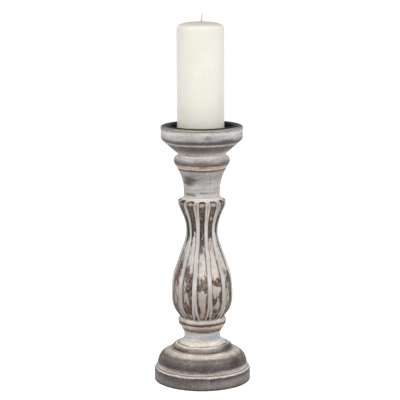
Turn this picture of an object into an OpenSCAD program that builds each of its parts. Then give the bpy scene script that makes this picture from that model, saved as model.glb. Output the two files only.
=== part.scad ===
// Turned and carved wooden candlestick with a black iron pan, a pricket and a pillar candle.
// Six turned pieces stand on each other and are pulled together by one threaded rod.
// Origin: centre of the felt underside. +Z points up, and a hollow between two ribs faces -Y.

/* [Base] */
// Radius of the plinth wall
plinth_r = 71.4; // [70:0.2:76]
// Top of the plinth wall
plinth_top_z = 16.6; // [14:0.2:18]
// Radius of the dome where it leaves the plinth
dome_r = 66.8; // [64:0.2:67]
// Height of the dome's foot
dome_foot_z = 24.5; // [24:0.5:28]
// Top face of the base
base_top_z = 48.6; // [48:0.2:49]
// Thickness of the felt disc
felt_t = 2; // [1.5:0.1:3]
// How far the felt stands proud of the wood
felt_proud = 0.4; // [0.3:0.1:1]
// Radius of the felt disc
felt_r = 66; // [55:1:68]

/* [Pedestal] */
// Radius of the foot disc
foot_disc_r = 45; // [43:0.5:48]
// Radius of the neck between the base and the ring
pedestal_neck_r = 26.8; // [25:0.2:28]
// Radius of the ring under the baluster
ring_r = 35.8; // [35:0.1:37]
// Top face of the ring
pedestal_top_z = 94.6; // [94:0.2:95]

/* [Baluster] */
// Largest radius of the baluster, over the ribs
belly_r = 46; // [44:0.1:48]
// Smallest radius of the baluster, over the ribs
waist_r = 23.8; // [23:0.1:26]
// Radius of the shoulder under the upper neck
shoulder_r = 35.5; // [34:0.1:37]
// Number of ribs round the baluster
rib_count = 12; // [10:1:14]
// Width of one rib
rib_w = 5.6; // [4:0.2:6.4]
// Depth of the hollows between the ribs
flute_depth = 1.8; // [1:0.1:2.4]
// Top face of the baluster
baluster_top_z = 276.6; // [276:0.2:278]

/* [Upper neck] */
// Smallest radius of the upper neck
capital_neck_r = 26.5; // [25.5:0.1:27]
// Radius of the collar bead under the cup
collar_r = 41.2; // [40.6:0.1:42.5]
// Top face of the upper neck
capital_top_z = 338.8; // [338:0.2:339.2]

/* [Cup] */
// Outer radius of the cup
cup_r = 60.2; // [59.5:0.1:62]
// Height of the cup's wooden rim
rim_z = 381; // [380.4:0.2:382]
// Radius of the turned recess that takes the pan
recess_r = 48.4; // [48:0.1:49]
// Height of the recess floor
recess_z = 368.7; // [366:0.1:369]

/* [Iron] */
// Thickness of the pan's sheet
sheet_t = 1; // [0.8:0.1:1.2]
// Radius of the rolled lip's round section
lip_roll_r = 1.15; // [1:0.05:1.2]
// Radius of the pricket at the pan floor
pricket_r = 2.5; // [2:0.1:2.8]
// Length of the pricket above the pan floor
pricket_l = 25; // [18:1:26]
// Radius of the threaded rod
rod_r = 4; // [3.8:0.1:4.2]

/* [Candle] */
// Radius of the candle
candle_r = 34.4; // [30:0.1:36]
// Height of the candle
candle_h = 160.6; // [80:0.2:200]
// Radius of the wick
wick_r = 1.3; // [1:0.1:1.6]
// Height of the wick above the candle's crown
wick_l = 13.4; // [6:0.2:16]

/* [Hidden] */

// Play between one turned piece's tenon and the next one's socket, and round every shank.
play = 0.05;
bore_r = rod_r + 0.5;
tenon_l = 12;
socket_l = tenon_l + 0.5;
base_tenon_r = 15;
ring_tenon_r = 15;
waist_tenon_r = 13;
cup_tenon_r = 15;

// The plinth's lower edge is only just broken, and the felt lies in a shallow recess under it.
plinth_edge_r = 0.6;
felt_gap = 0.3;

// The foot's counterbore hides a washer, a spring washer and a nut.
foot_bore_r = 13;
foot_bore_top_z = 17;
washer_t = 1.6;
spring_washer_t = 2.2;
nut_t = 6.5;
nut_flat = 13;
rod_end = 1.5;

// The cup's counterbore hides a washer, a nut and the pricket's riveted head.
cup_bore_r = 12;
cup_bore_z = 354;
rivet_r = 5;
rivet_t = 2.5;

// The flutes stop short of both ends of the baluster.
flute_low_z = 97;
flute_high_z = 271.5;
belly_z = 133;
taper_r = 38.6;
taper_z = 174;
waist_z = 222;
shoulder_z = 266.8;

// The pan stands on the recess floor and hooks its rolled lip over the rim.
pan_r = recess_r - 0.2;
pan_floor_z = recess_z + sheet_t;
pan_corner_r = 5;
lip_r = pan_r + 1;
lip_z = rim_z - 0.1;
rebate_z = lip_z - lip_roll_r - 0.05;
rebate_r = lip_r + lip_roll_r + 0.15;
screw_circle_r = 22;
screw_count = 3;
screw_head_r = 3;
screw_head_t = 1.5;
screw_shank_r = 1.5;
screw_l = 16;

// The candle stands just clear of the pan floor, and its hole is just clear of the pricket.
candle_z = pan_floor_z + 0.3;
candle_top_z = candle_z + candle_h;
candle_crown_t = 10;
pricket_hole_r = pricket_r + 0.7;
pricket_hole_l = pricket_l + 2;

// Points along a circular arc about c.
function arc(c, r, from, to, steps = 8) =
    [for (i = [0:steps]) let (a = from + (to - from) * i / steps)
        [c[0] + r * cos(a), c[1] + r * sin(a)]];

// Points along a cubic curve with its two ends at a and d.
function curve(a, b, c, d, steps = 8) =
    [for (i = [0:steps]) let (t = i / steps, u = 1 - t)
        u * u * u * a + 3 * u * u * t * b + 3 * u * t * t * c + t * t * t * d];

// Points of the same outline cut deeper by d where it lies between two heights.
function inset(points, d, low, high) =
    [for (p = points) (p[1] > low && p[1] < high) ? [p[0] - d, p[1]] : p];

// The baluster over its ribs: ogee foot, belly, long taper to the waist and rounded shoulder.
baluster_line = concat(
    [[0, pedestal_top_z], [32.4, pedestal_top_z]],
    curve([32.8, 96.5], [45, 110], [belly_r, 120], [belly_r, belly_z], 9),
    curve([belly_r, belly_z + 2], [belly_r, 159], [42, 163], [taper_r, taper_z], 6),
    curve([taper_r - 1, taper_z + 3], [35, 186], [waist_r, 211], [waist_r, waist_z], 7),
    curve([waist_r, waist_z + 3], [waist_r, 247], [34.4, 258], [shoulder_r, shoulder_z], 7),
    curve([shoulder_r, shoulder_z + 1], [36, 272.6], [29.4, 271.8], [26.9, baluster_top_z], 6),
    [[0, baluster_top_z]]);

module turned(points) {
    rotate_extrude($fn = 96)
        polygon(points);
}

module disc(r, z, h) {
    translate([0, 0, z])
        cylinder(r = r, h = h, $fn = 64);
}

// The rod's passage through a turned piece.
module rod_bore() {
    disc(bore_r, -10, 400);
}

// A tenon under a turned piece whose foot is at height z.
module tenon(r, z) {
    disc(r, z - tenon_l, tenon_l + 0.01);
}

// The socket for that tenon in the piece below.
module socket(r, z) {
    disc(r + play, z - socket_l, socket_l + 10);
}

module hexagon(flat, z, h) {
    translate([0, 0, z])
        cylinder(r = flat / sqrt(3), h = h, $fn = 6);
}

module felt_pad() {
    color("#3c3a37")
        disc(felt_r, 0, felt_t);
}

module turned_base() {
    color("#7b6f66")
        difference() {
            turned(concat(
                [[0, felt_proud], [plinth_r - plinth_edge_r, felt_proud]],
                arc([plinth_r - plinth_edge_r, felt_proud + plinth_edge_r], plinth_edge_r, -90, 0, 3),
                curve([plinth_r, plinth_top_z], [plinth_r - 0.8, 19.6], [68.8, 20], [dome_r + 0.6, 23.5], 6),
                curve([dome_r, dome_foot_z], [64.6, 44.3], [52, 43.7], [44.8, 47.5], 12),
                [[43.6, base_top_z], [0, base_top_z]]));
            rod_bore();
            disc(felt_r + felt_gap, -1, felt_t + 1);
            disc(foot_bore_r, 0, foot_bore_top_z);
            socket(base_tenon_r, base_top_z);
        }
}

module pedestal() {
    color("#c9c2b8")
        difference() {
            union() {
                turned(concat(
                    [[0, base_top_z], [43.6, base_top_z]],
                    curve([foot_disc_r - 0.6, 49.8], [foot_disc_r + 0.6, 51.6], [43, 53], [38, 54.8], 6),
                    [[37.2, 55], [35.6, 55.8]],
                    curve([35.2, 56.6], [31, 57.6], [pedestal_neck_r, 61.7], [pedestal_neck_r, 67], 8),
                    curve([pedestal_neck_r, 69], [pedestal_neck_r, 74], [28.5, 74.2], [29.6, 77.4], 5),
                    [[29.5, 78.2], [30.6, 78.8]],
                    curve([31, 79.6], [33.1, 82.8], [35, 83.8], [ring_r - 0.2, 86.6], 4),
                    [[ring_r - 0.9, 87.3], [ring_r - 0.2, 88]],
                    curve([ring_r, 88.6], [ring_r + 0.4, 91], [35, 92], [33.2, 93], 5),
                    [[32.4, 93.8], [32.4, pedestal_top_z], [0, pedestal_top_z]]));
                tenon(base_tenon_r, base_top_z);
            }
            rod_bore();
            socket(ring_tenon_r, pedestal_top_z);
        }
}

module fluted_baluster() {
    color("#d6d1ca")
        difference() {
            union() {
                turned(inset(baluster_line, flute_depth, flute_low_z, flute_high_z));
                intersection() {
                    turned(baluster_line);
                    for (i = [0:rib_count - 1])
                        rotate((i + 0.5) * 360 / rib_count)
                            translate([0, -rib_w / 2, flute_low_z - 5])
                                cube([80, rib_w, flute_high_z - flute_low_z + 8]);
                }
                tenon(ring_tenon_r, pedestal_top_z);
            }
            rod_bore();
            socket(waist_tenon_r, baluster_top_z);
        }
}

module upper_neck() {
    color("#bdb9b3")
        difference() {
            union() {
                turned(concat(
                    [[0, baluster_top_z], [26.8, baluster_top_z]],
                    curve([capital_neck_r, 281], [capital_neck_r, 293], [28.8, 306.5], [35.7, 317.4], 9),
                    [[35.5, 318.2], [36.6, 319]],
                    curve([37, 319.8], [37.8, 321.6], [39.4, 323.4], [40.3, 325.6], 4),
                    [[39.9, 326.4], [collar_r - 0.4, 327.1]],
                    curve([collar_r - 0.1, 328], [collar_r + 0.4, 331.5], [40.6, 335.6], [35.6, 336.9], 8),
                    [[34.5, 337.6], [34.4, capital_top_z], [0, capital_top_z]]));
                tenon(waist_tenon_r, baluster_top_z);
            }
            rod_bore();
            socket(cup_tenon_r, capital_top_z);
        }
}

module candle_cup() {
    color("#c8c5c1")
        difference() {
            union() {
                turned(concat(
                    [[0, capital_top_z], [34.4, capital_top_z], [cup_r - 5.8, 356.6]],
                    curve([cup_r - 5.2, 357.2], [cup_r - 2, 360], [cup_r - 0.6, 361.5], [cup_r - 0.6, 363.6], 5),
                    curve([cup_r, 377.6], [cup_r + 0.7, 380.2], [57, rim_z], [55.6, rim_z], 6),
                    [[rebate_r + 0.6, rim_z - 0.6], [rebate_r, rim_z - 1]],
                    [[rebate_r, rebate_z], [recess_r, rebate_z], [recess_r, recess_z], [0, recess_z]]));
                tenon(cup_tenon_r, capital_top_z);
            }
            rod_bore();
            disc(cup_bore_r, cup_bore_z, 30);
            pan_screw_places()
                screw_shape(play);
        }
}

module pan_screw_places() {
    for (i = [0:screw_count - 1])
        rotate(30 + i * 360 / screw_count)
            translate([screw_circle_r, 0, pan_floor_z])
                children();
}

// A countersunk screw whose flat head faces up, grown all round by g.
module screw_shape(g = 0) {
    translate([0, 0, -screw_head_t])
        cylinder(r1 = screw_shank_r + g, r2 = screw_head_r + g, h = screw_head_t, $fn = 32);
    translate([0, 0, -screw_l - g])
        cylinder(r = screw_shank_r + g, h = screw_l - screw_head_t + 2 * g, $fn = 32);
}

module drip_pan() {
    color("#1b1a1a")
        difference() {
            union() {
                turned(concat(
                    [[0, recess_z], [pan_r - pan_corner_r, recess_z]],
                    arc([pan_r - pan_corner_r, recess_z + pan_corner_r], pan_corner_r, -90, 0, 6),
                    [[pan_r, lip_z], [pan_r - sheet_t, lip_z]],
                    arc([pan_r - pan_corner_r, recess_z + pan_corner_r], pan_corner_r - sheet_t, 0, -90, 6),
                    [[0, pan_floor_z]]));
                rotate_extrude($fn = 96)
                    translate([lip_r, lip_z])
                        circle(r = lip_roll_r, $fn = 24);
            }
            disc(pricket_r + play, recess_z - 1, sheet_t + 2);
            pan_screw_places()
                screw_shape(play);
        }
}

module pricket_spike() {
    color("#262524")
        turned([[0, recess_z - rivet_t], [rivet_r - 1, recess_z - rivet_t], [rivet_r, recess_z - rivet_t + 1],
            [rivet_r, recess_z], [pricket_r, recess_z], [pricket_r, pan_floor_z + 4],
            [0.3, pan_floor_z + pricket_l], [0, pan_floor_z + pricket_l]]);
}

module pan_screws() {
    color("#2a2928")
        pan_screw_places()
            difference() {
                screw_shape();
                for (turn = [0, 90])
                    rotate(turn)
                        translate([-1.6, -0.3, -0.7])
                            cube([3.2, 0.6, 2]);
            }
}

module washer(r, z, h) {
    difference() {
        disc(r, z, h);
        disc(rod_r + 0.2, z - 1, h + 2);
    }
}

module nut(z) {
    difference() {
        hexagon(nut_flat, z, nut_t);
        disc(rod_r + play, z - 1, nut_t + 2);
    }
}

foot_nut_z = foot_bore_top_z - washer_t - spring_washer_t - nut_t;
cup_nut_z = cup_bore_z + washer_t;

module tie_rod() {
    color("#8d8d8b")
        disc(rod_r, foot_nut_z - rod_end, cup_nut_z + nut_t + 2 * rod_end - foot_nut_z);
}

module foot_washer() {
    color("#a5a5a2")
        washer(11, foot_bore_top_z - washer_t, washer_t);
}

// A split ring: the gap lets it grip the nut.
module foot_spring_washer() {
    color("#8f8f8c")
        difference() {
            washer(7, foot_nut_z + nut_t, spring_washer_t);
            translate([0, -0.6, foot_nut_z])
                cube([20, 1.2, 20]);
        }
}

module foot_nut() {
    color("#a5a5a2")
        nut(foot_nut_z);
}

module cup_washer() {
    color("#a5a5a2")
        washer(11, cup_bore_z, washer_t);
}

module cup_nut() {
    color("#a5a5a2")
        nut(cup_nut_z);
}

module candle_wax() {
    color("#efece0")
        difference() {
            turned(concat(
                [[0, candle_z], [candle_r - 1, candle_z], [candle_r, candle_z + 1]],
                curve([candle_r, candle_top_z - candle_crown_t], [candle_r, candle_top_z - 3],
                    [candle_r - 11, candle_top_z - 0.5], [0, candle_top_z], 12)));
            disc(pricket_hole_r, candle_z - 1, pricket_hole_l + 1);
            disc(wick_r + play, candle_z, candle_h + 5);
        }
}

module candle_wick() {
    color("#8a7f6c")
        disc(wick_r, candle_z + pricket_hole_l + 1, candle_h - pricket_hole_l - 1 + wick_l);
}

felt_pad();
turned_base();
pedestal();
fluted_baluster();
upper_neck();
candle_cup();
drip_pan();
pricket_spike();
pan_screws();
tie_rod();
foot_washer();
foot_spring_washer();
foot_nut();
cup_washer();
cup_nut();
candle_wax();
candle_wick();
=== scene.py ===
import math

import bpy
import numpy as np
from mathutils import Matrix, Vector, noise


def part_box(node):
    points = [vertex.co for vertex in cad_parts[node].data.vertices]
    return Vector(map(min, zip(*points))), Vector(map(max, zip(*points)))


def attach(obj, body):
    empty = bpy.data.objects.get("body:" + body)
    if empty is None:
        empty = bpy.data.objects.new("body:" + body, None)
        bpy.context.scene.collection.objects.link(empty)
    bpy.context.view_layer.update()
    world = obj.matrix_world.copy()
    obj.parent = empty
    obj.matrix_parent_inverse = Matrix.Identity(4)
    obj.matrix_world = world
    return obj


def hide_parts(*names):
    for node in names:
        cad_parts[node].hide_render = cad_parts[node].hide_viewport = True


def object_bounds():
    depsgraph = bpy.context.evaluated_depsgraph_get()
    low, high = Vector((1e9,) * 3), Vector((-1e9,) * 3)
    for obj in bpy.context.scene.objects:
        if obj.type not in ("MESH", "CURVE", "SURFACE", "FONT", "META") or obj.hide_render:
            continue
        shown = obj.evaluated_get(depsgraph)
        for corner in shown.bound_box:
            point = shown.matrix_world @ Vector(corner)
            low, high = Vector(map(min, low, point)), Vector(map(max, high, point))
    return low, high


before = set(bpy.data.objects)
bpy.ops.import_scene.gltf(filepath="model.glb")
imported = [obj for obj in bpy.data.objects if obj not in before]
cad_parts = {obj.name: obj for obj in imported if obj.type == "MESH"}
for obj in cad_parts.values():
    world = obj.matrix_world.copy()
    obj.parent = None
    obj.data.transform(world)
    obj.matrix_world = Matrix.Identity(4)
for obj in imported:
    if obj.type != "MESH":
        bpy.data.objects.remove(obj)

# A turned and fluted wooden candlestick in distressed whitewash, with an iron pan and a pillar candle.
# Outlines are (radius, height) in millimetres about the turning axis. MM turns them into metres.

MM = 0.001
cad_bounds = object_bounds()


# ---------------------------------------------------------------- sizes taken from the frame

def top_of(node):
    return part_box(node)[1].z / MM


def foot_of(node):
    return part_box(node)[0].z / MM


def radius_of(node):
    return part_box(node)[1].x / MM


RIBS = 12
SECTOR = math.tau / RIBS
RIB_REACH = math.cos(math.radians(11.5))
# The joint of pedestal and baluster lies this far above the pedestal node's top, in mm.
RING_RISE = 1.2

plinth_r = radius_of("turned_base")
cup_r = radius_of("candle_cup")
foot_disc_r = radius_of("pedestal")
collar_r = radius_of("upper_neck")
belly_r = radius_of("fluted_baluster") / RIB_REACH
candle_r = radius_of("candle_wax")
lip_outer_r = radius_of("drip_pan")
felt_r = radius_of("felt_pad")
felt_top_z = top_of("felt_pad")
base_foot_z = foot_of("turned_base")
base_top_z = top_of("turned_base")
pedestal_top_z = top_of("pedestal") + RING_RISE
baluster_top_z = top_of("fluted_baluster")
neck_top_z = top_of("upper_neck")
rim_z = top_of("candle_cup")
pan_foot_z = foot_of("drip_pan")
candle_foot_z = foot_of("candle_wax")
candle_top_z = top_of("candle_wax")
wick_foot_z = foot_of("candle_wick")
wick_tip_z = top_of("candle_wick")
spike_tip_z = top_of("pricket_spike")

BORE_R = 4.5
# A socket is this much wider than its tenon, and this much deeper.
SOCKET_PLAY = 0.05
SOCKET_ROOM = 0.5
TENON_R = 14.95
WAIST_TENON_R = 12.95
TENON_L = 12
WICK_BORE_R = 1.5
SPIKE_BORE_R = 3.2


# ---------------------------------------------------------------- outlines

def arc(cx, cz, r, start, end, steps=10):
    angles = [math.radians(start + (end - start) * i / steps) for i in range(steps + 1)]
    return [(cx + r * math.cos(a), cz + r * math.sin(a)) for a in angles]


def curve(a, b, c, d, steps=24):
    """Points along a cubic curve with its two ends at a and d."""
    points = []
    for i in range(steps + 1):
        t = i / steps
        u = 1 - t
        weights = (u * u * u, 3 * u * u * t, 3 * u * t * t, t * t * t)
        points.append(tuple(sum(w * p[k] for w, p in zip(weights, (a, b, c, d))) for k in (0, 1)))
    return points


def dense(points, step):
    """The same outline with a point at least every step mm."""
    fine = [points[0]]
    for a, b in zip(points, points[1:]):
        parts = max(1, math.ceil(math.dist(a, b) / step))
        fine += [(a[0] + (b[0] - a[0]) * i / parts, a[1] + (b[1] - a[1]) * i / parts)
                 for i in range(1, parts + 1)]
    return fine


def softened(points, times=1):
    """The same outline with its corners worn round."""
    line = np.array(points, float)
    for _ in range(times):
        line[1:-1] = line[1:-1] * 0.5 + (line[:-2] + line[2:]) * 0.25
    return [tuple(p) for p in line]


def length_along(line):
    """Length along an outline at each of its points, in mm."""
    steps = np.hypot(*np.diff(np.array(line), axis=0).T)
    return np.concatenate([[0], np.cumsum(steps)])


def run_of(line):
    """Length along an outline at each of its points, from 0 to 1."""
    length = length_along(line)
    return length / length[-1]


def bending(line, reach):
    """How far each point stands out of (+) or lies in (-) its neighbours reach points away, in mm."""
    p = np.array(line, float)
    n = len(p)
    low = np.maximum(np.arange(n) - reach, 0)
    high = np.minimum(np.arange(n) + reach, n - 1)
    chord = p[high] - p[low]
    length = np.maximum(np.hypot(*chord.T), 1e-6)
    away = p - p[low]
    return (chord[:, 1] * away[:, 0] - chord[:, 0] * away[:, 1]) / length


def socket(tenon_r, top_z):
    """The outline down into the socket of a tenon and in to the rod's bore."""
    floor_z = top_z - TENON_L - SOCKET_ROOM
    return [(tenon_r + SOCKET_PLAY, top_z), (tenon_r + SOCKET_PLAY, floor_z), (BORE_R, floor_z)]


# ---------------------------------------------------------------- meshes

def smooth(x):
    x = np.clip(x, 0, 1)
    return x * x * (3 - 2 * x)


def field(points, size, seed, stretch=(1, 1, 1)):
    """Smooth noise from -1 to 1 at each point (mm), with blobs about size mm across."""
    shift = Vector((seed * 3.7, seed * 1.9, seed * 5.3))
    scaled = points / size * np.array(stretch)
    return np.array([noise.noise(Vector(p) + shift) for p in scaled])


def mesh_object(name, verts, faces):
    mesh = bpy.data.meshes.new(name)
    mesh.from_pydata(verts, [], faces)
    mesh.update()
    mesh.polygons.foreach_set("use_smooth", [True] * len(mesh.polygons))
    obj = bpy.data.objects.new(name, mesh)
    bpy.context.scene.collection.objects.link(obj)
    return obj


def put(obj, name, values):
    """Stores one number per vertex for the materials to read."""
    made = obj.data.attributes.new(name, "FLOAT", "POINT")
    made.data.foreach_set("value", np.asarray(values, np.float32).ravel())


def ring_faces(rings, sides):
    """Quads of a surface of rings that closes on itself both ways."""
    i, k = np.meshgrid(np.arange(rings), np.arange(sides), indexing="ij")
    j, m = (i + 1) % rings, (k + 1) % sides
    quads = np.stack([i * sides + k, i * sides + m, j * sides + m, j * sides + k], -1)
    return quads.reshape(-1, 4).tolist()


def points_at(angle, r, z):
    """One point a row, in the unit of r and z, at these angles, radii and heights."""
    return np.stack([r * np.cos(angle), r * np.sin(angle), z], -1).reshape(-1, 3)


def turned(name, outer, inner, sides, reshape=None):
    """A lathe piece: its outline goes up outside and comes down inside, round the bore.

    reshape(turn, r, z) may move the points of the outer part, where turn is the angle."""
    loop = np.array(list(outer) + list(inner), float)
    turn = np.arange(sides) * math.tau / sides
    r = np.repeat(loop[:, 0:1], sides, 1)
    z = np.repeat(loop[:, 1:2], sides, 1)
    angle = np.repeat(turn[None, :], len(loop), 0)
    n = len(outer)
    if reshape:
        r[:n], z[:n] = reshape(angle[:n], r[:n], z[:n])
    verts = points_at(angle, r, z) * MM
    return mesh_object(name, verts.tolist(), ring_faces(len(loop), sides))


def per_ring(obj, sides, values, rest=0.0):
    """Spreads one value per outer ring over the whole mesh."""
    rings = len(obj.data.vertices) // sides
    full = np.full(rings, rest)
    full[:len(values)] = values
    return np.repeat(full, sides)


def patches(obj, places):
    """Adds up soft spots on a turned piece. Each place is (angle, height, half width, half height, amount),
    with angles in degrees from the front towards +X and heights in mm."""
    co = np.empty(len(obj.data.vertices) * 3)
    obj.data.vertices.foreach_get("co", co)
    co = co.reshape(-1, 3) / MM
    around = np.degrees(np.arctan2(co[:, 0], -co[:, 1]))
    total = np.zeros(len(co))
    for angle, height, half_w, half_h, amount in places:
        off = (around - angle + 180) % 360 - 180
        total += amount * np.exp(-(off / half_w) ** 2 - ((co[:, 2] - height) / half_h) ** 2)
    return total


# ---------------------------------------------------------------- material tools

def paint(code):
    """A colour written as red, green and blue hex digits, as linear light."""
    parts = [int(code[i:i + 2], 16) / 255 for i in (0, 2, 4)]
    return tuple(p / 12.92 if p <= 0.04045 else ((p + 0.055) / 1.055) ** 2.4 for p in parts) + (1.0,)


# One colour ramp node takes this many stops; longer lists are split over two or more.
RAMP_STOPS = 30


class Material:
    """Builds one node material. Sizes are in mm on the object."""

    def __init__(self, name):
        self.material = bpy.data.materials.new(name)
        self.material.use_nodes = True
        self.tree = self.material.node_tree
        self.tree.nodes.clear()
        self.out = self.add("ShaderNodeOutputMaterial")
        self.surface = self.add("ShaderNodeBsdfPrincipled")
        self.link(self.surface.outputs[0], self.out.inputs["Surface"])
        self.place = self.add("ShaderNodeTexCoord").outputs["Object"]

    def add(self, kind, **settings):
        node = self.tree.nodes.new(kind)
        for key, value in settings.items():
            setattr(node, key, value)
        return node

    def link(self, source, target):
        self.tree.links.new(source, target)

    def feed(self, socket, value):
        if isinstance(value, bpy.types.NodeSocket):
            self.link(value, socket)
        else:
            socket.default_value = value

    def read(self, name):
        return self.add("ShaderNodeAttribute", attribute_name=name).outputs["Fac"]

    def noise(self, size, stretch=(1, 1, 1), detail=3.0, rough=0.5, bend=0.0, seed=0.0):
        move = self.add("ShaderNodeMapping")
        self.link(self.place, move.inputs["Vector"])
        move.inputs["Location"].default_value = (seed, seed * 0.7, seed * 1.3)
        move.inputs["Scale"].default_value = tuple(s / (size * MM) for s in stretch)
        node = self.add("ShaderNodeTexNoise")
        self.link(move.outputs[0], node.inputs["Vector"])
        node.inputs["Scale"].default_value = 1.0
        node.inputs["Detail"].default_value = detail
        node.inputs["Roughness"].default_value = rough
        node.inputs["Distortion"].default_value = bend
        return node.outputs["Fac"]

    def math(self, kind, a, b=0.0, clamp=False):
        node = self.add("ShaderNodeMath", operation=kind, use_clamp=clamp)
        self.feed(node.inputs[0], a)
        self.feed(node.inputs[1], b)
        return node.outputs[0]

    def plus(self, a, b):
        return self.math("ADD", a, b)

    def times(self, a, b):
        return self.math("MULTIPLY", a, b)

    def step(self, value, low, high, to_low=0.0, to_high=1.0, kind="SMOOTHSTEP"):
        node = self.add("ShaderNodeMapRange", interpolation_type=kind)
        self.feed(node.inputs["Value"], value)
        node.inputs["From Min"].default_value = low
        node.inputs["From Max"].default_value = high
        node.inputs["To Min"].default_value = to_low
        node.inputs["To Max"].default_value = to_high
        return node.outputs[0]

    def ramp(self, value, stops):
        if len(stops) > RAMP_STOPS:
            split = stops[RAMP_STOPS - 1][0]
            beyond = self.math("GREATER_THAN", value, split)
            low = self.ramp(value, stops[:RAMP_STOPS])
            return self.mix(beyond, low, self.ramp(value, stops[RAMP_STOPS - 1:]))
        node = self.add("ShaderNodeValToRGB")
        self.feed(node.inputs[0], value)
        marks = node.color_ramp.elements
        while len(marks) < len(stops):
            marks.new(0.5)
        for mark, (place, colour) in zip(marks, stops):
            mark.position = place
            mark.color = colour
        return node.outputs[0]

    def mix(self, share, a, b, kind="MIX"):
        node = self.add("ShaderNodeMix", data_type="RGBA", blend_type=kind)
        self.feed(node.inputs[0], share)
        self.feed(node.inputs[6], a)
        self.feed(node.inputs[7], b)
        return node.outputs[2]

    def shade(self, colour, value):
        """colour times a grey value."""
        grey = self.add("ShaderNodeCombineColor")
        for socket in grey.inputs[:3]:
            self.feed(socket, value)
        return self.mix(1.0, colour, grey.outputs[0], "MULTIPLY")

    def vary(self, colour, value, low, high):
        """colour times low to high, as value goes from 0.3 to 0.7."""
        return self.shade(colour, self.step(value, 0.3, 0.7, low, high, "LINEAR"))

    def bump(self, height, depth, under=None):
        """A bump of depth mm where height goes from 0 to 1."""
        node = self.add("ShaderNodeBump")
        node.inputs["Strength"].default_value = 1.0
        node.inputs["Distance"].default_value = depth * MM
        self.feed(node.inputs["Height"], height)
        if under is not None:
            self.link(under, node.inputs["Normal"])
        return node.outputs[0]

    def finish(self, colour, rough, normal=None, **constants):
        self.feed(self.surface.inputs["Base Color"], colour)
        self.feed(self.surface.inputs["Roughness"], rough)
        if normal is not None:
            self.link(normal, self.surface.inputs["Normal"])
        for key, value in constants.items():
            self.surface.inputs[key.replace("_", " ")].default_value = value
        return self.material


def wear(obj, material):
    obj.data.materials.clear()
    obj.data.materials.append(material)


# ---------------------------------------------------------------- distressed paint on turned wood

UMBER = paint("4a372b")
# Dark wax for stain and flecks, and also the colour of the painted shade in creases.
DARK_WAX_AND_SHADE = paint("2e2824")
WARM_WHITE = paint("e9ded4")


def bands_on(line, stops):
    """Turns (height or (radius, height), colour) stops into places along an outline."""
    points = np.array(line)
    run = run_of(line)
    placed = []
    for where, code in stops:
        if isinstance(where, tuple):
            nearest = np.argmin(np.hypot(*(points - np.array(where)).T))
        else:
            nearest = np.argmin(np.abs(points[:, 1] - where))
        placed.append((float(run[nearest]), paint(code)))
    return placed


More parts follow.
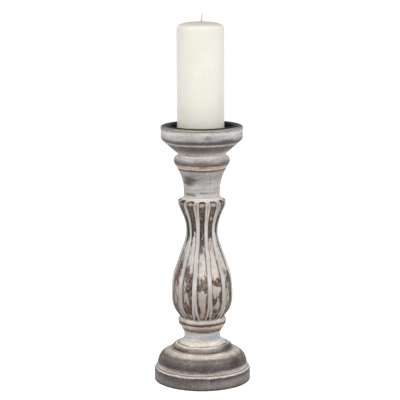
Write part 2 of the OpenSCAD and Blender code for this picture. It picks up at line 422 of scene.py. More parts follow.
def rubbed_paint(name, stops, seed, length, dark=0.5, grain=0.0, flecks=0.4, gloss=0.3):
    """Banded wash over dark wood: uneven bands, brush marks round the turning, rubbed stain and flecks, spots
    of smudge with painted shade and painted light, painted shade in creases and painted highlights on crests.

    length is the outline's length in mm. dark says how much stain shows, grain how much upright grain."""
    m = Material(name)
    run = m.read("run")
    wander = m.step(m.noise(30, (1, 1, 0.4), 2.0, seed=seed), 0.25, 0.75, -1, 1, "LINEAR")
    ragged = m.step(m.noise(5, (1, 1, 0.6), 4.0, 0.6, seed=seed + 5), 0.25, 0.75, -1, 1, "LINEAR")
    shifted = m.plus(run, m.plus(m.times(wander, 0.8 / length), m.times(ragged, 0.75 / length)))
    colour = m.ramp(shifted, stops)

    cloud = m.noise(22, (1, 1, 1.8), 4.0, 0.55, seed=seed + 1)
    colour = m.vary(colour, cloud, 0.86, 1.12)
    mottle = m.noise(3.6, (1, 1, 1.7), 5.0, 0.68, 0.2, seed=seed + 11)
    colour = m.vary(colour, mottle, 0.8, 1.16)
    warmth = m.noise(15, (1, 1, 1.4), 3.0, seed=seed + 2)
    colour = m.mix(m.step(warmth, 0.48, 0.68, 0.0, 0.3), colour, paint("cda78c"), "SOFT_LIGHT")
    colour = m.mix(m.step(warmth, 0.50, 0.32, 0.0, 0.3), colour, paint("9fb0c8"), "SOFT_LIGHT")

    strokes = m.noise(0.9, (0.04, 0.04, 1), 4.0, 0.6, seed=seed + 3)
    colour = m.vary(colour, strokes, 0.79, 1.17)
    turning = m.noise(2.4, (0.03, 0.03, 1), 3.0, 0.6, seed=seed + 12)
    colour = m.vary(colour, turning, 0.86, 1.12)

    smudge_and_light = m.read("smudge_and_light")
    broken = m.noise(7, (1, 1, 2.0), 8.0, 0.7, 0.4, seed=seed + 4)
    # Positive spots darken the paint: smudges, and on the cup's rim a painted shadow of the candle.
    smudge_and_shadow = m.plus(smudge_and_light, m.plus(m.times(broken, 1.6), strokes))
    colour = m.shade(colour, m.step(smudge_and_shadow, 1.55, 2.75, 1.0, 0.3, "LINEAR"))
    # Negative spots lighten the paint: painted light on the sides and over creases, and a pale scuff in a few
    # places.
    colour = m.shade(colour, m.step(smudge_and_light, -1.0, 0.0, 1.4, 1.0, "LINEAR"))
    stain = m.step(m.plus(broken, m.times(smudge_and_light, 0.35)), 0.54, 0.76)
    colour = m.mix(m.times(stain, dark), colour, m.mix(0.5, DARK_WAX_AND_SHADE, UMBER))
    pale = m.step(m.plus(m.noise(8, (1, 1, 1.6), 8.0, 0.7, seed=seed + 6), m.times(smudge_and_light, -0.05)), 0.56, 0.78)
    colour = m.mix(m.times(pale, 0.4), colour, WARM_WHITE)

    grit = m.noise(1.1, detail=4.0, rough=0.7, seed=seed + 7)
    colour = m.vary(colour, grit, 0.84, 1.12)
    specks = m.step(grit, 0.6, 0.7)
    spots = m.step(m.noise(15, detail=2.0, seed=seed + 8), 0.45, 0.6)
    colour = m.mix(m.times(m.times(specks, spots), flecks), colour, DARK_WAX_AND_SHADE)

    upright = m.noise(0.75, (1, 1, 0.05), 3.0, 0.6, seed=seed + 9)
    if grain:
        lines = m.step(upright, 0.5, 0.68)
        colour = m.mix(m.times(lines, grain), colour, paint("38302c"))
        light_lines = m.step(m.noise(0.9, (1, 1, 0.08), 4.0, seed=seed + 10), 0.54, 0.72)
        colour = m.mix(m.times(light_lines, grain * 0.8), colour, paint("b9aea5"))

    # Painted shade in the creases, taken away where spots are negative.
    crease_shade = m.times(m.read("crease_shade"), m.step(smudge_and_light, -0.9, -0.2))
    colour = m.mix(m.times(crease_shade, m.step(broken, 0.3, 0.6, 0.35, 0.9)), colour, DARK_WAX_AND_SHADE)
    # Painted highlight on the crests.
    crest_highlight = m.read("crest_highlight")
    colour = m.mix(m.times(crest_highlight, m.step(cloud, 0.35, 0.6, 0.05, 0.45)), colour, WARM_WHITE)

    rough = m.step(m.plus(strokes, m.times(stain, -0.4)), 0.0, 0.8, 0.42, 0.72, "LINEAR")
    normal = m.bump(strokes, 0.12)
    normal = m.bump(broken, 0.16, normal)
    normal = m.bump(mottle, 0.1, normal)
    normal = m.bump(upright, 0.05 + 0.1 * grain, normal)
    return m.finish(colour, rough, normal, Specular_IOR_Level=gloss)


def edges_of(obj, line, sides, plain):
    """Marks where to paint shade in the creases and a highlight on the crests of a turned piece, from how its
    outline bends, but not at plain heights.
    """
    bend = bending(line, 3)
    heights = np.array(line)[:, 1]
    marked = np.ones(len(heights))
    for low, high in plain:
        marked[(heights > low) & (heights < high)] = 0
    put(obj, "crease_shade", per_ring(obj, sides, np.clip(-bend * 1.6 - 0.12, 0, 1) * marked))
    put(obj, "crest_highlight", per_ring(obj, sides, np.clip(bend * 1.2 - 0.12, 0, 1) * marked))


def outer_length(line):
    return float(np.sum(np.hypot(*np.diff(np.array(line), axis=0).T)))


def uneven(seed, low=0.18, fine=0.05):
    """A hand-turned surface: a slow wander of the radius and fine tool marks."""
    def reshape(angle, r, z):
        points = points_at(angle, r, z)
        slow = field(points, 22, seed).reshape(r.shape)
        marks = field(points, 2.2, seed + 1, (0.12, 0.12, 1)).reshape(r.shape)
        inward = np.minimum(slow * low + marks * fine - low, 0.02)
        return r + inward, z
    return reshape


WOOD_SIDES = 256
STEP = 0.75


def wooden(name, node, outer, inner, seed, bands, spots, dark=0.5, grain=0.0, flecks=0.4, plain=()):
    """One turned and painted piece that stands for a CAD node."""
    line = softened(dense(outer, STEP), 1)
    obj = turned(name, line, inner, WOOD_SIDES, uneven(seed))
    put(obj, "run", per_ring(obj, WOOD_SIDES, run_of(line), 1.0))
    # Spots that darken as smudges and painted shadow, and lighten as painted light.
    put(obj, "smudge_and_light", patches(obj, spots))
    edges_of(obj, line, WOOD_SIDES, plain)
    wear(obj, rubbed_paint(name + "_paint", bands_on(line, bands), seed, outer_length(line),
                           dark, grain, flecks))
    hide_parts(node)
    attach(obj, "candlestick")


# ---------------------------------------------------------------- base

def make_base():
    outer = [(felt_r + 0.3, base_foot_z), (plinth_r - 0.6, base_foot_z)]
    outer += arc(plinth_r - 0.6, base_foot_z + 0.6, 0.6, -90, 0, 4)
    outer += [(plinth_r, 16.2)]
    outer += curve((plinth_r - 0.1, 16.8), (plinth_r - 0.8, 19.6), (68.8, 20), (67.6, 23.3))
    outer += [(67.0, 23.7)]
    outer += curve((66.8, 24.6), (64.6, 44.3), (52, 43.7), (44.9, 47.4), 40)
    outer += [(43.6, base_top_z)]
    foot_bore_r, foot_bore_top_z = 13, 17
    inner = socket(TENON_R, base_top_z)
    inner += [(BORE_R, foot_bore_top_z), (foot_bore_r, foot_bore_top_z), (foot_bore_r, felt_top_z),
              (felt_r + 0.3, felt_top_z)]
    bands = [(base_foot_z + 0.4, "322e2c"), (2.1, "3b3735"), (3.6, "645e5c"), (6, "6e6866"),
             (9.5, "726c69"), (12.5, "6e6865"), (14.4, "625c59"), (16, "443e3b"), (17.6, "4b4541"),
             (18.7, "7b726d"), (19.3, "dacfc9"), (20.2, "d8cdc6"), (21.2, "6e645d"), (21.8, "91867e"),
             (22.6, "bbb0a7"), (24, "b8aea6"), (25.2, "a79e97"), (26.4, "827b75"), (27.8, "5c5655"),
             (29, "4b4442"), (31.1, "504947"), (33.7, "5d5655"), (36, "5b5453"), (37.9, "6f6866"),
             (39.5, "776f6c"), (40.9, "6f6762"), (42, "867c76"), (43.1, "b8ada5"), (44, "d2c6be"),
             (44.8, "dacec5"), (45.7, "ece0d7"), (46.6, "cbbdb3"), (47.6, "c3b3a9"), (base_top_z, "7d726b")]
    # Negative amounts lighten the paint, as painted light on the sides and over the crease at the top, and as
    # a pale scuff on the plinth; positive ones darken it.
    spots = [(40, 9, 16, 4, -0.8), (14, 6, 12, 3, -0.4), (48, 30, 10, 5, 1.0), (-48, 28, 14, 6, 0.6),
             (5, 27, 18, 2.5, 0.8), (-20, 8, 12, 5, 0.5), (18, 15, 14, 2, 0.6), (-45, 13, 30, 4, 0.8),
             (0, 33, 14, 4, 0.45), (-17, 37.5, 9, 4, -0.7), (32, 47.5, 16, 2.5, -1.2),
             (-27, 47.5, 12, 2.5, -0.7), (-24, 41, 14, 1.3, 0.4), (20, 41, 12, 1.3, 0.5),
             (22, 37, 9, 4, -0.8), (52, 36.5, 10, 3.5, 1.0), (-62, 25.5, 24, 3, -0.7),
             (62, 25.5, 24, 3, -0.7), (25, 19.2, 22, 0.9, -0.8), (-19, 25, 12, 1.5, 0.5),
             (150, 30, 25, 8, 0.6), (-130, 12, 20, 6, -0.7), (100, 9, 18, 5, 0.5), (-165, 26, 14, 5, 0.8),
             (60, 44, 20, 3, 0.4), (-70, 42, 20, 3, 0.4)]
    wooden("wood_base", "turned_base", outer, inner, 3, bands, spots, dark=0.5, grain=0.32)


# ---------------------------------------------------------------- pedestal

def make_pedestal():
    outer = [(TENON_R, base_top_z - TENON_L), (TENON_R, base_top_z), (43.4, base_top_z)]
    outer += curve((foot_disc_r - 0.4, 49.6), (foot_disc_r + 0.6, 51.6), (43, 53.6), (38, 55.3))
    outer += [(36.9, 55.8), (36.2, 56.6), (35.5, 56.4)]
    outer += curve((35.0, 57.2), (31, 58.3), (26.8, 62.2), (26.8, 67))
    outer += curve((26.8, 69), (26.8, 74), (28.3, 74.2), (29.5, 77.2))
    outer += [(29.4, 78.2), (30.4, 78.7)]
    outer += curve((31, 79.6), (33.1, 82.8), (35, 84.4), (35.4, 87.4))
    outer += [(34.7, 88.1), (35.3, 88.8)]
    outer += curve((35.7, 89.5), (36.1, 91.9), (35.2, 93.6), (33.4, 94.8))
    outer += [(32.6, pedestal_top_z)]
    inner = socket(TENON_R, pedestal_top_z) + [(BORE_R, base_top_z - TENON_L)]
    bands = [((40, base_top_z), "5b514c"), ((44.4, 49.2), "645a55"), ((45.1, 50.6), "77706c"),
             ((44.4, 52), "8a827e"), ((42.4, 53.5), "a0978f"), ((39.8, 54.7), "bdb4ae"),
             ((38.4, 55.2), "f6efe9"), ((37.4, 55.6), "f6efe9"), ((36.2, 56.3), "665a51"),
             ((35.2, 57.1), "d6c8bc"), ((33.4, 58), "f4e8dc"), ((30.6, 59.7), "fbf1e7"),
             ((28.4, 62.1), "f4eae1"), ((27.2, 64.4), "d8d4d0"), (66.4, "c9c8c7"), (68.5, "b7b7b7"),
             (71, "b6b5b5"), (73, "bcb9b7"), (75, "acaaa8"), (76.6, "878280"), ((29.4, 78.2), "433a36"),
             ((31.2, 79.9), "756a63"), ((32.6, 81.8), "85786f"), ((34.2, 83.8), "a39287"),
             ((34.9, 85.4), "b4a194"), ((35.3, 86.9), "85746a"), ((34.8, 88.1), "382f2b"),
             ((35.4, 88.9), "3d342f"), ((35.8, 89.8), "5c534d"), (90.8, "8f867f"), (92, "b7aea7"),
             (93.2, "d3cbc4"), (94.6, "f1e9e2"), (95.2, "d6ccc4"), (pedestal_top_z, "3d342f")]
    # Negative amounts lighten the paint as painted light on the sides and over the crease at the foot;
    # positive ones darken it.
    spots = [(-42, 51, 18, 2, 0.9), (38, 50, 14, 2, 1.0), (66, 52.5, 18, 3.5, 1.8),
             (-66, 50.5, 18, 1.8, 1.0), (12, 90, 12, 1, 0.6), (0, 87.3, 14, 1, 0.7), (-18, 91, 6, 1.5, 0.5),
             (32, 49.3, 16, 1.2, -1.2), (-27, 49.3, 12, 1, -0.9), (42, 92.5, 20, 3, -1.3),
             (-36, 92.5, 16, 3, -1.0), (-36, 81.5, 18, 2.2, -1.0), (40, 86, 18, 1.8, -1.0),
             (-36, 86, 18, 1.6, -0.6), (-30, 56.8, 14, 1, -1.0), (32, 56.8, 14, 1, -1.0),
             (10, 76, 20, 1.6, 0.7), (-30, 66, 14, 4, -0.5), (-150, 70, 20, 6, 0.5), (120, 52, 20, 2, 0.7)]
    wooden("wood_pedestal", "pedestal", outer, inner, 11, bands, spots, dark=0.36)


# ---------------------------------------------------------------- upper neck

def make_upper_neck():
    foot = baluster_top_z
    outer = [(WAIST_TENON_R, foot - TENON_L), (WAIST_TENON_R, foot), (26.7, foot)]
    outer += curve((26.5, 281), (26.5, 293), (28.8, 306.5), (35.6, 317.2), 40)
    outer += [(35.3, 318.3), (36.4, 318.9)]
    outer += curve((36.9, 319.8), (37.7, 321.6), (39.4, 323.4), (40.2, 325.4))
    outer += [(39.7, 326.4), (collar_r - 0.5, 327)]
    outer += curve((collar_r - 0.2, 328), (collar_r + 0.3, 331.5), (40.6, 335.6), (35.6, 336.9))
    outer += [(34.9, 337.3), (34.3, neck_top_z)]
    inner = socket(TENON_R, neck_top_z) + [(BORE_R, foot - TENON_L)]
    bands = [((22, foot), "ccc7c1"), (foot + 1, "ccc7c1"), (280, "c6c1bb"), (282, "b7b3ae"),
             (283.4, "aaa6a1"), (284.8, "a39f9a"), (286.5, "b0ada8"), (290, "aba8a4"), (292.5, "aaa7a3"),
             (294.4, "b0ada9"), (298, "a4a19d"), (301, "949190"), (303, "9c9996"), (306, "94918e"),
             (309.5, "8c8987"), (313, "918e8b"), (315.4, "8c8783"), (317, "665e59"),
             ((35.5, 318.1), "4a413d"), ((36.4, 318.9), "8d8179"), ((36.9, 319.8), "b5a89e"),
             (321.4, "aa9d93"), (323, "95897f"), (324.4, "9b9087"), (325.4, "75695f"),
             ((39.8, 326.4), "443933"), (327.8, "5d5550"), (329.3, "767370"), (330.8, "8b8885"),
             # Whiter up to the collar's top: a painted highlight where it faces the light.
             (332.1, "a4a19e"), (333.5, "c6c3c0"), (334.8, "eae7e3"), ((37.9, 336), "fbf8f4"),
             ((35.2, 337.1), "fffcf6"), (neck_top_z, "f0eae4")]
    # Positive amounts darken the paint in smudges and marks; negative ones lighten it as painted light on the
    # sides.
    spots = [(-44, 303.5, 24, 7.5, 1.0), (-38, 303.5, 13, 3, 1.1), (-21, 304.5, 9, 2, 0.8),
             (-55, 299, 11, 2.6, 1.3), (-42, 297.5, 14, 2.2, 0.7), (25, 302, 1.6, 6, 0.8),
             (6, 285, 16, 1.2, 0.8), (-50, 281.5, 22, 2, 1.0), (-24, 280, 7, 1.4, 0.7),
             (2, 317.6, 14, 1.2, 0.8), (26, 319.4, 12, 0.8, 0.9), (28, 331, 12, 2, -0.8),
             (24, 334.4, 14, 0.9, 0.4), (-26, 333, 12, 3, -0.6), (3, 324, 12, 3, 0.6),
             (-27, 324.5, 10, 2, -0.7), (27, 325, 10, 1.6, -0.8), (0, 330, 12, 2, 0.3),
             (32, 295, 22, 14, -0.1), (-28, 292, 16, 5, -0.2), (140, 300, 20, 6, 0.8),
             (-120, 290, 18, 5, 0.7), (85, 310, 14, 5, 0.5), (180, 330, 20, 3, 0.6)]
    wooden("wood_upper_neck", "upper_neck", outer, inner, 23, bands, spots, dark=0.42, flecks=0.5,
           plain=((336.4, 340),))


# ---------------------------------------------------------------- cup

def make_cup():
    foot = neck_top_z
    lip_r = lip_outer_r - 1.15
    rebate_z = rim_z - 1.6
    rebate_r = lip_r + 1.3
    recess_r = lip_r - 0.8
    outer = [(TENON_R, foot - TENON_L), (TENON_R, foot), (34.3, foot), (cup_r - 5.9, 356.5)]
    outer += curve((cup_r - 5.3, 357.1), (cup_r - 2, 360), (cup_r - 0.7, 361.5), (cup_r - 0.6, 363.6))
    outer += curve((cup_r - 0.05, 377.6), (cup_r + 0.5, 380.2), (57, rim_z), (55.6, rim_z - 0.1))
    outer += [(rebate_r + 0.6, rim_z - 0.6), (rebate_r, rim_z - 1)]
    cup_bore_r, cup_bore_z = 12, 354
    inner = [(rebate_r, rebate_z), (recess_r, rebate_z), (recess_r, pan_foot_z), (cup_bore_r, pan_foot_z),
             (cup_bore_r, cup_bore_z), (BORE_R, cup_bore_z), (BORE_R, foot - TENON_L)]
    bands = [((24, foot), "d6cfc9"), ((34.4, foot + 0.1), "d6cfc9"), (340.2, "afa79f"), (341.9, "a49b93"),
             (343.6, "968d85"), (345.4, "7a7169"), (347.1, "615a56"), (348.9, "534e4b"), (350.6, "4b4744"),
             (352.3, "4a4643"), (354, "4a4542"), (355.2, "554e49"), (355.9, "7d746d"),
             ((54.8, 356.9), "a59b92"), ((55.8, 357.9), "978e85"), (358.8, "5f5751"), (359.8, "443f3c"),
             (361.6, "4c4845"), (363.2, "636060"), (364.6, "8a8886"), (366, "9d9b99"), (368.2, "aaa8a7"),
             (370.4, "aeadab"), (372.5, "bdbbb9"), (374.6, "bbb9b7"), (376.2, "b2b0ad"), (377.1, "a5a29f"),
             (377.8, "746f69"), (378.5, "8b847d"), ((60.1, 379.1), "978f88"), ((59.4, 379.9), "968e87"),
             ((58.6, 380.4), "887f78"), ((57.4, rim_z - 0.1), "776d66"), ((55.4, rim_z - 0.2), "6c625a"),
             # Near-black at the rim's inner edge and in the rebate: painted shade of the gap by the pan and
             # of the candle.
             ((54.4, rim_z - 0.3), "463d36"), ((53.2, rim_z - 0.4), "221d1a"),
             (((rebate_r + 0.2), rim_z - 0.9), "1f1a17")]
    # The spot at angle 4 on the rim's top is a painted shadow of the candle; negative amounts lighten the
    # paint as painted light on the sides; other positive ones darken it.
    spots = [(38, 364, 14, 3.4, 1.0), (-6, 361.5, 20, 2, 0.4), (8, 368.5, 8, 3, 0.6),
             (-50, 372, 16, 6, -0.4), (52, 374, 18, 5, -0.5), (-8, 350, 14, 3, 0.4), (-35, 342, 14, 3, 0.6),
             (26, 351, 14, 6, -0.6), (-64, 369, 16, 6, -0.7), (4, rim_z - 0.1, 18, 0.5, 2.2),
             (2, 377.9, 20, 0.5, 1.3), (-85, rim_z - 0.2, 30, 0.8, 0.9), (80, rim_z - 0.2, 30, 0.8, 0.7),
             (150, 368, 20, 5, 0.6), (-130, 363, 24, 4, 0.8), (100, 350, 20, 5, 0.4)]
    wooden("wood_cup", "candle_cup", outer, inner, 31, bands, spots, dark=0.42,
           plain=((330, 341), (rim_z - 1.1, rim_z + 1)))


# ---------------------------------------------------------------- fluted baluster

FLUTE_LOW_Z = 96.2
FLUTE_HIGH_Z = 273.7
FLUTE_DEPTH = 1.8
WALL_W = 1.0
# Widths in mm at chosen heights: from one hollow's edge to the next one's, and of a hollow's raised border.
# Then how deep the valley between two borders is.
GAP_AT = ((96, 8.6), (105, 9.2), (118, 7.8), (135, 6.8), (175, 6.2), (222, 5.2), (245, 6.2), (262, 8.0),
          (268, 8.4), (273, 7.0))
BORDER_AT = ((96, 1.7), (108, 2.3), (122, 3.0), (135, 3.0), (175, 2.8), (222, 2.4), (250, 2.4), (273, 2.4))
VALLEY_AT = ((96, 1.8), (104, 1.4), (135, 0.9), (222, 0.6), (245, 0.9), (262, 1.3), (268, 1.2),
             (271.5, 0.3), (273, 0.0))
# How far each rib's hollow strays sideways from its even place, in degrees, going round from the front.
STRAY = (0.6, -0.9, -0.5, 1.2, -1.1, 0.8, -0.4, 1.0, -0.8, 0.5, 1.8, 1.6)
# Millimetres carved off each rib's width in the upper half, going round from the front.
TRIM = (0.4, 0.2, 0.8, 0.0, 1.0, 0.3, 0.0, 0.9, 0.2, 0.6, 2.4, 0.0)
BALUSTER_SIDES = 384
BALUSTER_STEP = 0.84


def baluster_outline():
    line = [(32.6, pedestal_top_z)]
    line += curve((33.2, 97.2), (45, 110), (belly_r, 120), (belly_r, 133), 40)
    line += curve((belly_r, 135), (belly_r, 159), (42, 163), (38.6, 174), 30)
    line += curve((37.6, 177), (35, 186), (23.8, 211), (23.8, 222), 30)
    line += curve((23.8, 225), (23.8, 247), (34.4, 258), (35.5, 266.8), 30)
    line += curve((35.5, 267.8), (36, 272.6), (29.4, 271.8), (26.9, baluster_top_z), 20)
    return line


def at_heights(z, table):
    heights, values = zip(*table)
    return np.interp(z, heights, values)


def flute_edge(line):
    """Half a hollow's width, with round ends, and the length along the outline where it is so wide.

    The third value is the length along the outline at each of its points."""
    points = np.array(line)
    length = length_along(line)
    low = np.interp(FLUTE_LOW_Z, points[:, 1], length)
    high = np.interp(FLUTE_HIGH_Z, points[:, 1], length)
    along = np.concatenate([low + np.linspace(0, 1, 60) ** 2 * 9,
                            np.linspace(low + 9, high - 5, 420),
                            high - np.linspace(1, 0, 60) ** 2 * 5])
    z = np.interp(along, length, points[:, 1])
    r = np.interp(along, length, points[:, 0])
    half = np.maximum(SECTOR / 2 * r - at_heights(z, GAP_AT) / 2, 0.5)
    round_low = np.sqrt(np.clip(1 - (1 - np.clip((along - low) / 3, 0, 1)) ** 2, 0, 1))
    round_high = np.clip(1 - (1 - np.clip((high - along) / 3.2, 0, 1)) ** 3, 0, 1) ** (1 / 3)
    return half * round_low * round_high, along, length


def carve(line):
    """The carved radius all round, and what the materials need to know about each point."""
    points = np.array(line)
    edge_s, edge_l, length = flute_edge(line)
    turn = np.arange(BALUSTER_SIDES) * math.tau / BALUSTER_SIDES
    front = turn + math.pi / 2
    stray = np.radians(np.array(STRAY))
    shape = (len(line), BALUSTER_SIDES)
    depth, floor, side_line, valley = (np.zeros(shape) for _ in range(4))
    ring = np.stack([np.repeat(points[:, 0:1], BALUSTER_SIDES, 1) * np.cos(turn),
                     np.repeat(points[:, 0:1], BALUSTER_SIDES, 1) * np.sin(turn),
                     np.repeat(points[:, 1:2], BALUSTER_SIDES, 1)], -1).reshape(-1, 3)
    wobble = field(ring, 16, 41, (1, 1, 0.7)).reshape(shape) * 0.45
    gouge = field(ring, 4.5, 42, (1, 1, 0.45)).reshape(shape)
    hand = field(ring, 9, 43).reshape(shape)
    for i, (r, z) in enumerate(points):
        place = front / SECTOR
        number = np.round(place).astype(int) % RIBS
        off = place - np.round(place)
        away = off * SECTOR - stray[number] * np.cos(off * math.pi)
        rib = (number - (away < 0)) % RIBS
        trimmed = np.array(TRIM)[rib] / 2 * float(smooth((z - 180) / 50))
        s = np.maximum(np.abs(away * r + wobble[i]) - trimmed, 0)
        near = np.abs(edge_l - length[i]) < 14
        if not near.any():
            d = np.full(BALUSTER_SIDES, 20.0)
        else:
            d = np.sqrt((s[:, None] - edge_s[near]) ** 2 + (length[i] - edge_l[near]) ** 2).min(1)
        inside = (s < np.interp(length[i], edge_l, edge_s, 0, 0)) & (edge_l[0] < length[i] < edge_l[-1])
        d = np.where(inside, -d, d)
        border = at_heights(z, BORDER_AT)
        wall = smooth(-d / WALL_W)
        pillow = 0.5 * smooth((-d - WALL_W * 0.8) / 4.0)
        across = np.clip(d / border, 0, 1)
        beyond = np.clip(d - border, 0, None)
        crown = 0.3 * (2 * across - 1) ** 2
        between = smooth(beyond / 1.8) * at_heights(z, VALLEY_AT) * 1.1
        depth[i] = np.where(d < 0, np.maximum(FLUTE_DEPTH * wall - pillow, 0.3 * (1 - wall)), crown + between)
        floor[i] = np.where(d < 0, wall, 0)
        side_line[i] = np.where(d < 0, np.exp(-((-d - 0.8) / 0.85) ** 2), np.exp(-(d / 0.45) ** 2) * 0.7)
        valley[i] = np.where(d > 0, smooth(beyond / 1.5), 0) * min(1, at_heights(z, VALLEY_AT) / 0.8)
    fade = smooth((length - length[0]) / 1.5)[:, None] * smooth((length[-1] - length) / 2.5)[:, None]
    depth = (depth + np.where(floor > 0.5, gouge * 0.16, gouge * 0.06) + hand * 0.08) * fade + 0.05
    return depth, floor * fade, side_line * fade, valley * fade


def baluster_paint():
    m = Material("wood_baluster_paint")
    run = m.read("run")
    floor = m.read("floor")
    side = m.read("side_line")
    valley = m.read("valley")
    bare = m.read("bare")
    tone = m.read("tone")

    # Ribs and borders: cool grey white, warmer and browner here and there.
    drift = m.noise(20, (1, 1, 0.6), 3.0, seed=50)
    rib = m.mix(m.step(drift, 0.38, 0.62), paint("bfbdbb"), paint("d8d5d1"))
    warm = m.step(m.noise(14, (1, 1, 0.5), 3.0, seed=51), 0.5, 0.68, 0, 0.6)
    rib = m.mix(warm, rib, paint("cbb9ab"))
    lengthwise = m.noise(0.8, (1, 1, 0.05), 4.0, 0.6, seed=52)
    rib = m.vary(rib, lengthwise, 0.86, 1.08)
    chip = m.step(m.noise(2.2, (1, 1, 0.5), 5.0, 0.7, seed=53), 0.62, 0.7)
    rib = m.mix(m.times(chip, 0.5), rib, paint("7d6e64"))
    # Grey in the valleys between borders: painted shade.
    groove_shade = m.noise(6, (1, 1, 0.3), 4.0, seed=54)
    rib = m.mix(m.times(valley, m.step(groove_shade, 0.3, 0.65, 0.55, 0.9)), rib, paint("827e7b"))

    # Floors: cream wash that has peeled off dark wood in ragged flakes.
    cream = m.mix(m.step(m.noise(12, (1, 1, 0.6), 3.0, seed=55), 0.4, 0.62), paint("cdc9c3"), paint("d6c6ba"))
    cream = m.vary(cream, m.noise(3, (1, 1, 0.5), 5.0, 0.6, seed=56), 0.8, 1.12)
    wood = m.mix(m.step(m.noise(8, (1, 1, 0.5), 4.0, seed=57), 0.35, 0.65), paint("4a382d"), paint("745c4f"))
    wood = m.mix(m.read("ash"), wood, paint("7c736d"))
    wood = m.mix(tone, wood, paint("2b221e"))
    wood = m.vary(wood, m.noise(0.7, (1, 1, 0.06), 4.0, 0.6, seed=58), 0.7, 1.3)
    wood = m.vary(wood, m.noise(1.6, (1, 1, 0.7), 5.0, 0.7, seed=62), 0.75, 1.25)
    flake = m.step(m.noise(5.2, (1, 1, 0.36), 10.0, 0.7, 0.5, seed=59), 0.26, 0.74, 0, 1, "LINEAR")
    peeled = m.step(m.plus(flake, m.plus(bare, -0.5)), 0.475, 0.525)
    thin = m.step(m.plus(flake, m.plus(bare, -0.5)), 0.34, 0.50)
    hollow = m.mix(m.times(thin, 0.5), cream, paint("8f8279"))
    hollow = m.mix(peeled, hollow, wood)
    scraps = m.step(m.noise(1.8, (1, 1, 0.4), 6.0, 0.72, seed=60), 0.54, 0.61)
    hollow = m.mix(m.times(scraps, m.step(tone, 0.4, 0.8, 0.68, 0.25)), hollow, paint("bdb6ae"))

    colour = m.mix(m.step(floor, 0.25, 0.6), rib, hollow)
    # Dark lines along the hollows' walls: dark stain in part, painted shade in the corners in part.
    line_break = m.step(m.noise(5, (1, 1, 0.25), 6.0, 0.65, seed=61), 0.34, 0.6, 0.35, 1.0)
    colour = m.mix(m.math("MULTIPLY", side, m.times(line_break, 0.85), True), colour, paint("35291f"))

    # Darker towards the ring and round the shoulder. Nearly black where a valley meets the ring: painted
    # shade in that notch.
    darker_by_height = m.ramp(run, [(0.0, paint("91867e")), (0.03, paint("a89d95")), (0.12, paint("bab1ab")),
                         (0.22, paint("cdc8c3")), (0.34, (1, 1, 1, 1)), (0.7, (1, 1, 1, 1)),
                         (0.8, paint("cac4be")), (0.93, paint("c8c1ba")), (0.965, (1, 1, 1, 1))])
    colour = m.mix(m.step(floor, 0, 0.5, 0.7, 1.0), colour, darker_by_height, "MULTIPLY")
    notch_shade = m.times(valley, m.step(run, 0.05, 0.018))
    colour = m.mix(notch_shade, colour, paint("1f1a17"))
    # Whiter on the slope above the flutes: the skirt's white wash, and a painted highlight where the slope
    # faces up.
    near_top = m.step(run, 0.955, 0.972)
    colour = m.mix(m.times(near_top, m.step(floor, 0.5, 0.2, 0, 0.9)), colour, paint("efebe5"))

    rough = m.step(m.plus(lengthwise, m.times(m.times(peeled, floor), -0.5)), -0.2, 0.8, 0.38, 0.7, "LINEAR")
    normal = m.bump(lengthwise, 0.1)
    normal = m.bump(m.times(m.math("SUBTRACT", 1.0, peeled), floor), 0.22, normal)
    normal = m.bump(flake, 0.2, normal)
    return m.finish(colour, rough, normal, Specular_IOR_Level=0.3)


# How bare the hollows' floors are at chosen heights: about 0 is all painted and 1 is all peeled.
BARE_AT = ((96, 0.44), (108, 0.44), (122, 0.43), (140, 0.43), (158, 0.43), (168, 0.38), (182, 0.33),
           (196, 0.34), (208, 0.42), (218, 0.52), (230, 0.60), (246, 0.62), (258, 0.70), (264, 0.70),
           (266.6, 0.45), (269, 0.38), (270.4, 0.62), (272, 0.8))
# How dark the bare wood is, from brown to nearly black.
DARK_AT = ((96, 0.1), (130, 0.15), (180, 0.3), (208, 0.55), (224, 0.8), (240, 0.6), (252, 0.2), (270, 0.1))
